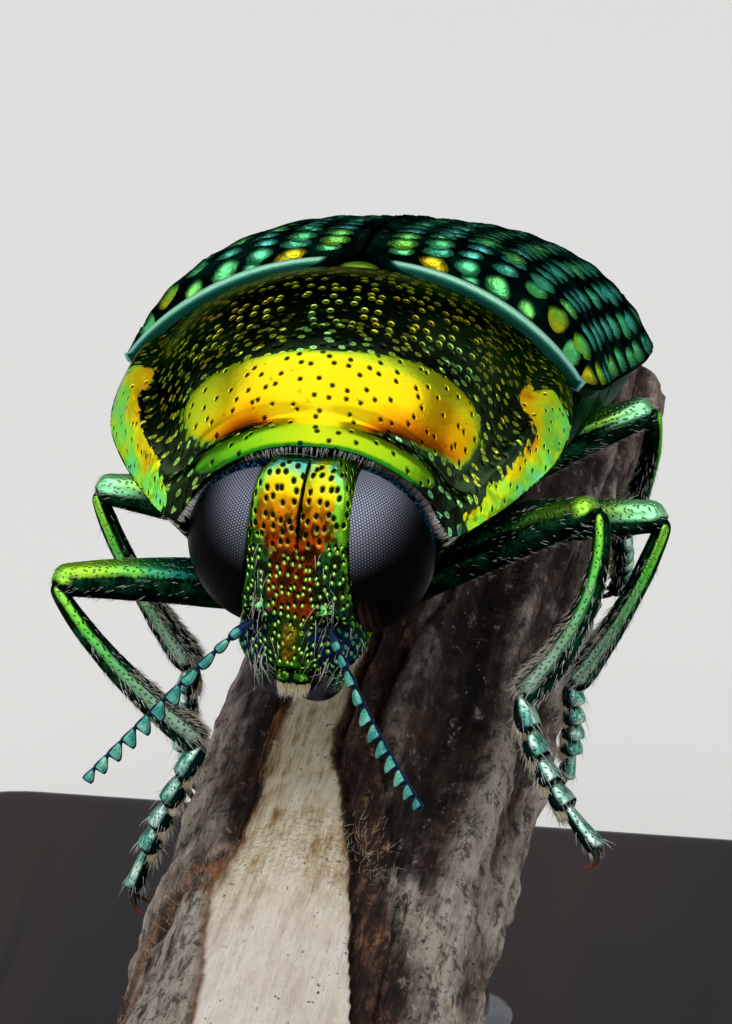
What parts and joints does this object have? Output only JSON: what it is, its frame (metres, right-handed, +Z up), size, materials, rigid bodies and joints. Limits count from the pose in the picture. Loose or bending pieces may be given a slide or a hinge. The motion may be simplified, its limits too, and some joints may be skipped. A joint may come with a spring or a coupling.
{
  "type": "jewel beetle model on a perch and display stand",
  "caption": "Life-size jewel beetle with a gold-banded pronotum and pitted green wing cases, walking on a short piece of dead branch held by a plain stand.",
  "frame": {"origin": "centre of the stand's underside", "axes": "+Y along the perch and the stand's long side, towards the beetle's tail; the head looks along -Y; +Z up; +X to the beetle's left"},
  "size_m": [0.032, 0.046, 0.0291],
  "materials": {
    "elytra": "glossy metallic teal-black with green pits",
    "pronotum": "glossy metallic gold band on green-black",
    "head": "glossy metallic gold, orange and green",
    "venter": "metallic green with short pale hair",
    "leg": "metallic green with rows of pale bristles",
    "antenna": "metallic turquoise",
    "eye": "glossy black with fine facets",
    "mouth": "glossy black-brown",
    "bark": "dry weathered wood and bark",
    "stand": "dark stained and polished",
    "rod": "brushed"
  },
  "bodies": {
    "root": {"elytron_left": "elytra", "elytron_right": "elytra", "scutellum": "elytra", "pronotum": "pronotum", "thorax": "venter", "abdomen": "venter", "head": "head", "labrum": "head", "mandible_left": "mouth", "mandible_right": "mouth", "eye_left": "eye", "eye_right": "eye", "antenna_left": "antenna", "antenna_right": "antenna", "left_front_femur": "leg", "left_front_tibia": "leg", "left_front_tarsus": "leg", "left_middle_femur": "leg", "left_middle_tibia": "leg", "left_middle_tarsus": "leg", "left_hind_femur": "leg", "left_hind_tibia": "leg", "left_hind_tarsus": "leg", "right_front_femur": "leg", "right_front_tibia": "leg", "right_front_tarsus": "leg", "right_middle_femur": "leg", "right_middle_tibia": "leg", "right_middle_tarsus": "leg", "right_hind_femur": "leg", "right_hind_tibia": "leg", "right_hind_tarsus": "leg", "perch_branch": "bark", "stand_base": "stand", "stand_rod_front": "rod", "stand_rod_rear": "rod"}
  },
  "joints": []
}
